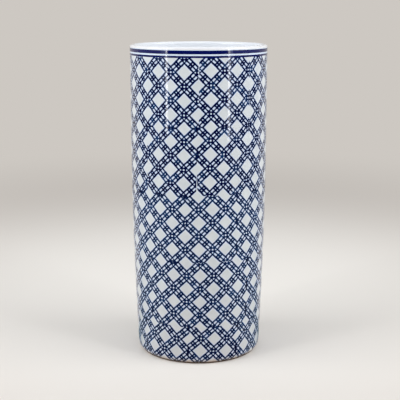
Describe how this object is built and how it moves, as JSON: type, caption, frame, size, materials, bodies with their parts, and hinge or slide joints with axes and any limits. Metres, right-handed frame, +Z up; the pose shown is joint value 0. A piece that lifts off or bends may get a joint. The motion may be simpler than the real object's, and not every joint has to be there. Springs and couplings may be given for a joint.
{
  "type": "umbrella stand",
  "caption": "Tall cylindrical porcelain umbrella stand with a rounded lip, cobalt rim bands and an all-over blue lattice, drawn in towards a bare foot ring.",
  "frame": {"origin": "centre of the footprint, on the ground", "axes": "+Z up along the axis of the cylinder, -Y towards the viewer, +X to the viewer's right"},
  "size_m": [0.2004, 0.2004, 0.458],
  "materials": {
    "glazed_porcelain": "white porcelain under a clear gloss glaze",
    "bare_clay": "unglazed foot, toasted brown in the kiln",
    "cobalt_decoration": "cobalt blue under a clear gloss glaze"
  },
  "bodies": {
    "root": {"wall": "glazed_porcelain", "floor_slab": "glazed_porcelain", "foot_ring": "bare_clay", "rim_band": "cobalt_decoration", "rim_line": "cobalt_decoration"}
  },
  "joints": []
}
